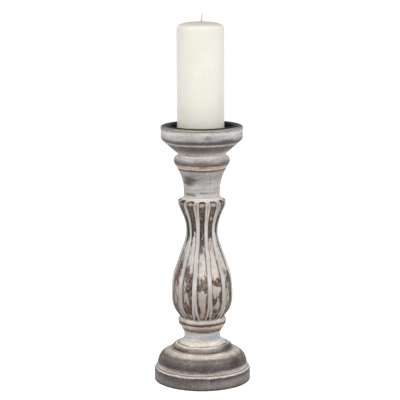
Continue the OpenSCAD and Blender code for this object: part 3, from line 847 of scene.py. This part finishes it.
# Worn and painted places on single floors: angle from the front, height, half width, half height, amount.
BARE_SPOTS = ((0, 268.6, 8, 2.8, -0.33), (30, 269.5, 8, 3, -0.25), (0, 247, 9, 3, -0.2),
              (1, 230, 9, 16, 0.22), (-7, 232, 3.5, 9, -0.3), (1, 203, 9, 13, 0.2), (0, 176, 9, 12, -0.13),
              (2, 151, 9, 8.5, 0.55), (0, 117, 6, 4, -0.22), (0, 132, 9, 8, -0.42),
              (-7, 118, 3.5, 11, 0.22), (9.5, 121, 3.5, 9, 0.28), (2, 110, 4, 8, -0.25),
              (31, 246, 8, 4, -0.2), (30, 226, 9, 15, 0.2), (31, 188, 8, 22, -0.18),
              (32, 153.5, 8, 5.5, 0.6), (34, 131, 5, 4, 0.25), (30, 110.5, 8, 3.5, 0.25),
              (31, 145, 8, 4, -0.35), (37, 135, 4, 8, 0.36), (31, 127, 8, 10, -0.15),
              (24, 126, 4, 5.5, 0.6), (31, 122, 5, 5, -0.15), (29, 108, 8, 7, 0.15), (64, 159, 8, 7, 0.5),
              (66, 138, 5, 9, 0.3), (62, 118, 8, 8, 0.15), (60, 190, 8, 20, -0.1),
              (-30, 269.3, 8, 2.6, -0.4), (-29, 251, 9, 14, 0.2), (-23, 230, 4, 7, 0.3),
              (-28, 200, 9, 20, -0.15), (-26, 152, 9, 16, 0.26), (-21, 135, 5, 22, 0.22),
              (-28, 114, 9, 9, 0.28), (-33, 167, 4, 9, 0.4), (-28, 163, 9, 6, 0.2), (-30, 133, 7, 6, -0.22),
              (-57, 240, 9, 20, 0.22), (-57, 205, 9, 9, -0.12), (-60, 168, 10, 15, 0.45),
              (-60, 138, 8, 8, 0.08), (-58, 112, 9, 8, 0.16), (92, 140, 9, 16, 0.25),
              (122, 165, 9, 12, 0.4), (122, 130, 6, 10, -0.2), (152, 120, 9, 14, 0.28),
              (180, 150, 9, 12, 0.4), (180, 180, 9, 12, -0.2), (-152, 170, 9, 14, 0.3),
              (-122, 118, 9, 14, 0.3), (-92, 150, 9, 10, 0.35), (150, 185, 8, 12, 0.2),
              (-178, 108, 9, 8, 0.25), (-95, 190, 8, 14, -0.2))
# Where the bare wood has gone grey.
ASH_SPOTS = ((4, 153, 8, 12, 0.9), (0, 203, 9, 14, 0.7), (30, 228, 9, 16, 0.5), (-34, 160, 6, 14, 0.6),
             (180, 150, 9, 10, 0.7), (120, 120, 9, 12, 0.6), (-120, 200, 9, 16, 0.5))


def uneven_wear(heights):
    """How far up or down, in mm, the worn zones sit at each height and angle."""
    turn = np.arange(BALUSTER_SIDES) * math.tau / BALUSTER_SIDES
    spots = [(math.cos(a) * 40, math.sin(a) * 40, z) for z in heights for a in turn]
    shift = field(np.array(spots), 24, 47, (1, 1, 0.3)).reshape(len(heights), BALUSTER_SIDES)
    return shift * 26 * smooth((262 - heights) / 12)[:, None]


def make_baluster():
    line = softened(dense(baluster_outline(), BALUSTER_STEP), 1)
    depth, floor, side_line, valley = carve(line)
    tenon = [(TENON_R, pedestal_top_z - TENON_L), (TENON_R, pedestal_top_z)]
    outer = tenon + line
    inner = socket(WAIST_TENON_R, baluster_top_z) + [(BORE_R, pedestal_top_z - TENON_L)]

    def reshape(angle, r, z):
        slope = np.gradient(np.array(line), axis=0)
        slope /= np.hypot(*slope.T)[:, None]
        r[2:] -= depth * slope[:, 1:2]
        z[2:] += depth * slope[:, 0:1]
        return r, z

    obj = turned("wood_baluster", outer, inner, BALUSTER_SIDES, reshape)
    rings = len(obj.data.vertices) // BALUSTER_SIDES

    def spread(values):
        full = np.zeros((rings, BALUSTER_SIDES))
        full[2:2 + len(line)] = values
        return full

    heights = np.array(line)[:, 1]
    put(obj, "run", spread(run_of(line)[:, None]))
    put(obj, "floor", spread(floor))
    put(obj, "side_line", spread(side_line))
    put(obj, "valley", spread(valley))
    put(obj, "tone", spread(at_heights(heights, DARK_AT)[:, None]))
    put(obj, "bare", spread(at_heights(heights[:, None] + uneven_wear(heights), BARE_AT)).ravel()
        + patches(obj, BARE_SPOTS))
    put(obj, "ash", np.clip(patches(obj, ASH_SPOTS), 0, 1))
    wear(obj, baluster_paint())
    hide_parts("fluted_baluster")
    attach(obj, "candlestick")


# ---------------------------------------------------------------- iron pan

def iron(name, seed):
    m = Material(name)
    cast = m.noise(2.4, detail=5.0, rough=0.6, seed=seed)
    dust = m.step(m.noise(9, detail=4.0, seed=seed + 1), 0.5, 0.7)
    colour = m.mix(m.times(dust, 0.5), paint("171615"), paint("2e2b28"))
    scratch = m.step(m.noise(0.6, (0.05, 0.05, 1), 3.0, seed=seed + 2), 0.62, 0.7)
    colour = m.mix(m.times(scratch, 0.35), colour, paint("4c4a47"))
    rough = m.step(m.plus(cast, m.times(dust, 0.3)), 0.2, 1.0, 0.28, 0.6, "LINEAR")
    normal = m.bump(cast, 0.12)
    return m.finish(colour, rough, normal, Metallic=0.0, Specular_IOR_Level=0.5)


def make_pan():
    lip = 1.15
    lip_r = lip_outer_r - lip
    wall_r = lip_r - 1
    sheet = 1
    corner = 5
    lip_z = rim_z - 0.4
    floor_z = pan_foot_z + sheet
    hole_r = 2.55
    outer = [(hole_r, pan_foot_z), (wall_r - corner, pan_foot_z)]
    outer += arc(wall_r - corner, pan_foot_z + corner, corner, -90, 0, 10)
    outer += [(wall_r, lip_z - 1)]
    outer += arc(lip_r, lip_z, lip, -120, 180, 28)
    inner = [(wall_r - sheet, lip_z - 1)]
    inner += arc(wall_r - corner, pan_foot_z + corner, corner - sheet, 0, -90, 10)
    inner += [(hole_r, floor_z)]
    line = dense(outer + inner, 1.2)

    def dented(angle, r, z):
        points = points_at(angle, r, z)
        beat = field(points, 7, 71).reshape(r.shape)
        return r + beat * 0.08 - 0.06, z

    obj = turned("iron_pan", line, [], 224, dented)
    wear(obj, iron("black_iron_pan", 70))
    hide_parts("drip_pan")
    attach(obj, "candlestick")


# ---------------------------------------------------------------- candle

# The wax stands this far along X from the axis, in mm. Its two bores stay on the axis.
CANDLE_SHIFT = -1.5


def wax():
    m = Material("ivory_wax")
    cloud = m.noise(40, detail=3.0, seed=80)
    colour = m.mix(m.step(cloud, 0.35, 0.65), paint("dddbd0"), paint("e1dfd6"))
    height = m.add("ShaderNodeSeparateXYZ")
    m.link(m.place, height.inputs[0])
    # Paler towards the foot: painted light against the shade from the dark pan.
    foot = m.step(height.outputs[2], (candle_foot_z + 4) * MM, (candle_foot_z + 34) * MM, 1, 0)
    colour = m.mix(foot, colour, paint("ebe9e0"))
    # Greyer towards the top: painted shade on the crown under the top light.
    crown = m.step(height.outputs[2], (candle_top_z - 8) * MM, (candle_top_z - 1) * MM)
    colour = m.mix(crown, colour, paint("bbb9ad"))
    mottled = m.noise(3.5, detail=5.0, rough=0.6, seed=81)
    colour = m.vary(colour, mottled, 0.985, 1.01)
    scuff = m.step(m.noise(5, (0.2, 0.2, 1), 5.0, 0.7, seed=82), 0.66, 0.74)
    colour = m.mix(m.times(scuff, 0.25), colour, paint("dcd7c8"))
    rough = m.step(m.plus(mottled, scuff), 0.2, 1.2, 0.36, 0.55, "LINEAR")
    normal = m.bump(m.noise(9, detail=2.0, seed=83), 0.12)
    normal = m.bump(mottled, 0.035, normal)
    m.surface.inputs["Subsurface Radius"].default_value = (1.0, 0.8, 0.5)
    # Glow near the foot: painted light given off by the wax.
    painted_glow = m.step(height.outputs[2], (candle_foot_z + 8) * MM, (candle_foot_z + 36) * MM, 1, 0)
    m.feed(m.surface.inputs["Emission Color"], m.mix(painted_glow, (0, 0, 0, 1), paint("66625a")))
    return m.finish(colour, rough, normal, Emission_Strength=1.0, Subsurface_Weight=0.8,
                    Subsurface_Scale=0.006, Specular_IOR_Level=0.4)


def make_candle():
    crown_z = candle_top_z - 10
    outer = [(SPIKE_BORE_R, candle_foot_z), (candle_r - 1.2, candle_foot_z)]
    outer += arc(candle_r - 1.2, candle_foot_z + 1.2, 1.2, -90, 0, 5)
    outer += [(candle_r, crown_z - 1)]
    outer += curve((candle_r, crown_z), (candle_r, candle_top_z - 3), (23.3, candle_top_z - 0.5),
                   (6, candle_top_z - 0.1), 40)
    outer += curve((5.5, candle_top_z - 0.1), (3.4, candle_top_z - 0.3), (2.4, candle_top_z - 1.5),
                   (WICK_BORE_R, candle_top_z - 2.2), 8)
    inner = [(WICK_BORE_R, wick_foot_z), (SPIKE_BORE_R, wick_foot_z), (SPIKE_BORE_R, spike_tip_z)]
    line = dense(outer, 1.5)

    def poured(angle, r, z):
        points = points_at(angle, r, z)
        slow = field(points, 30, 85).reshape(r.shape)
        small = field(points, 8, 86).reshape(r.shape)
        on_side = smooth((r - 6) / 10)
        return r + (slow * 0.18 + small * 0.05 - 0.15) * on_side, z

    obj = turned("wax_pillar", line, inner, 224, poured)
    for v in obj.data.vertices:
        v.co.x += CANDLE_SHIFT * MM * float(smooth((math.hypot(v.co.x, v.co.y) / MM - 4) / 8))
    wear(obj, wax())
    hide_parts("candle_wax")
    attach(obj, "candle")


def cotton():
    m = Material("cotton_wick")
    fibre = m.noise(0.35, (1, 1, 0.2), 4.0, 0.6, seed=90)
    colour = m.mix(m.step(fibre, 0.35, 0.65), paint("cfccc4"), paint("efede8"))
    normal = m.bump(fibre, 0.08)
    return m.finish(colour, m.step(fibre, 0.2, 0.8, 0.75, 0.95, "LINEAR"), normal, Specular_IOR_Level=0.2)


def make_wick():
    """Three cotton strands twisted round each other, leaning a little at the tip."""
    strands, sides, rings = 3, 12, 220
    pitch, strand_r, spread = 5.0, 0.72, 0.62
    lean = 1.6
    verts, faces = [], []
    for s in range(strands):
        first = len(verts)
        for i in range(rings):
            t = i / (rings - 1)
            z = wick_foot_z + 0.3 + (wick_tip_z - wick_foot_z - 0.6) * t
            free = max(0.0, (z - candle_top_z) / (wick_tip_z - candle_top_z))
            taper = 1 - 0.55 * free ** 2
            turn = math.tau * (z / pitch + s / strands)
            cx = lean * free ** 1.6 + spread * taper * math.cos(turn)
            cy = spread * taper * math.sin(turn)
            for k in range(sides):
                a = math.tau * k / sides
                fuzz = 1 + 0.12 * noise.noise(Vector((k * 1.7, i * 0.45, s * 9.0)))
                r = strand_r * taper * fuzz
                verts.append(((cx + r * math.cos(a)) * MM, (cy + r * math.sin(a)) * MM, z * MM))
        for i in range(rings - 1):
            for k in range(sides):
                m = (k + 1) % sides
                low, high = first + i * sides, first + (i + 1) * sides
                faces.append((low + k, low + m, high + m, high + k))
        faces.append(tuple(first + k for k in reversed(range(sides))))
        faces.append(tuple(first + (rings - 1) * sides + k for k in range(sides)))
    obj = mesh_object("wick_strands", verts, faces)
    wear(obj, cotton())
    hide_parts("candle_wick")
    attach(obj, "candle")


# ---------------------------------------------------------------- felt and the hidden fastenings

def felt():
    m = Material("grey_felt")
    fluff = m.noise(0.8, detail=6.0, rough=0.7, seed=100)
    lumps = m.noise(6, detail=3.0, seed=101)
    colour = m.mix(m.step(fluff, 0.3, 0.7), paint("2c2a28"), paint("55514d"))
    colour = m.vary(colour, lumps, 0.85, 1.15)
    normal = m.bump(fluff, 0.3)
    return m.finish(colour, m.step(fluff, 0.2, 0.8, 0.85, 1.0, "LINEAR"), normal, Specular_IOR_Level=0.15)


def zinc():
    m = Material("zinc_steel")
    brushed = m.noise(0.5, (0.08, 0.08, 1), 4.0, 0.6, seed=110)
    blotch = m.noise(4, detail=3.0, seed=111)
    colour = m.mix(m.step(blotch, 0.35, 0.65), paint("a8a9a6"), paint("c2c2bf"))
    colour = m.vary(colour, brushed, 0.9, 1.05)
    rough = m.step(m.plus(brushed, blotch), 0.5, 1.5, 0.28, 0.48, "LINEAR")
    return m.finish(colour, rough, m.bump(brushed, 0.03), Metallic=1.0)


def dress_cad_nodes():
    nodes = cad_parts
    wear(nodes["felt_pad"], felt())
    spike_iron = iron("black_iron_spike", 75)
    for name in ("pricket_spike", "pan_screws"):
        wear(nodes[name], spike_iron)
    steel = zinc()
    for name in ("tie_rod", "foot_washer", "foot_spring_washer", "foot_nut", "cup_washer", "cup_nut"):
        wear(nodes[name], steel)


# ---------------------------------------------------------------- stage, light and camera

def make_floor():
    size = 6.0
    verts = [(-size, -size, 0), (size, -size, 0), (size, size, 0), (-size, size, 0)]
    floor = mesh_object("studio_floor", verts, [(0, 1, 2, 3)])
    m = Material("studio_paper")
    soft = m.noise(900, detail=2.0, seed=120)
    colour = m.mix(m.step(soft, 0.3, 0.7), paint("fafafa"), paint("fdfdfd"))
    wear(floor, m.finish(colour, 0.8, None, Specular_IOR_Level=0.0, Emission_Strength=0.6,
                         Emission_Color=(1, 1, 1, 1)))


def make_light(name, place, aim, size, power, colour):
    lamp = bpy.data.lights.new(name, "AREA")
    lamp.shape = "DISK"
    lamp.size = size
    lamp.energy = power
    lamp.color = colour
    obj = bpy.data.objects.new(name, lamp)
    obj.location = place
    obj.rotation_euler = (Vector(aim) - Vector(place)).to_track_quat("-Z", "Y").to_euler()
    bpy.context.scene.collection.objects.link(obj)


def make_studio():
    scene = bpy.context.scene
    scene.view_settings.view_transform = "Standard"
    world = bpy.data.worlds.new("white_studio")
    scene.world = world
    world.use_nodes = True
    tree = world.node_tree
    tree.nodes.clear()
    out = tree.nodes.new("ShaderNodeOutputWorld")
    blend = tree.nodes.new("ShaderNodeMixShader")
    sight = tree.nodes.new("ShaderNodeLightPath")
    ambient = tree.nodes.new("ShaderNodeBackground")
    ambient.inputs["Strength"].default_value = 0.4
    seen = tree.nodes.new("ShaderNodeBackground")
    seen.inputs["Strength"].default_value = 1.05
    for node in (ambient, seen):
        node.inputs["Color"].default_value = (1, 1, 1, 1)
    tree.links.new(sight.outputs["Is Camera Ray"], blend.inputs[0])
    tree.links.new(ambient.outputs[0], blend.inputs[1])
    tree.links.new(seen.outputs[0], blend.inputs[2])
    tree.links.new(blend.outputs[0], out.inputs["Surface"])
    middle = (0, 0, cad_bounds[1][2] * 0.5)
    make_light("key", (-1.1, -1.7, 1.5), middle, 1.2, 9, (1.0, 0.975, 0.94))
    make_light("fill", (1.5, -1.2, 0.9), middle, 1.4, 7.5, (0.95, 0.97, 1.0))
    make_light("top", (0, -0.5, 2.1), middle, 1.0, 20, (1, 1, 1))


# Distances and heights in metres, the lean in degrees and the lens in mm.
CAMERA_FAR = 2.2
CAMERA_HIGH = 0.67
AIM_HIGH = 0.27018
SIDE_STEP = -0.0028
LEAN = 0.16
LENS = 137.25


def make_camera():
    data = bpy.data.cameras.new("camera")
    data.sensor_width = 36
    data.lens = LENS
    data.clip_start = 0.05
    data.clip_end = 50
    camera = bpy.data.objects.new("camera", data)
    place = Vector((SIDE_STEP, -CAMERA_FAR, CAMERA_HIGH))
    aim = Vector((SIDE_STEP, 0, AIM_HIGH))
    look = (aim - place).to_track_quat("-Z", "Y").to_matrix()
    roll = Matrix.Rotation(math.radians(-LEAN), 3, "Z")
    camera.matrix_world = Matrix.Translation(place) @ (look @ roll).to_4x4()
    bpy.context.scene.collection.objects.link(camera)
    bpy.context.scene.camera = camera


make_camera()
make_studio()
make_floor()
make_base()
make_pedestal()
make_baluster()
make_upper_neck()
make_cup()
make_pan()
make_candle()
make_wick()
dress_cad_nodes()
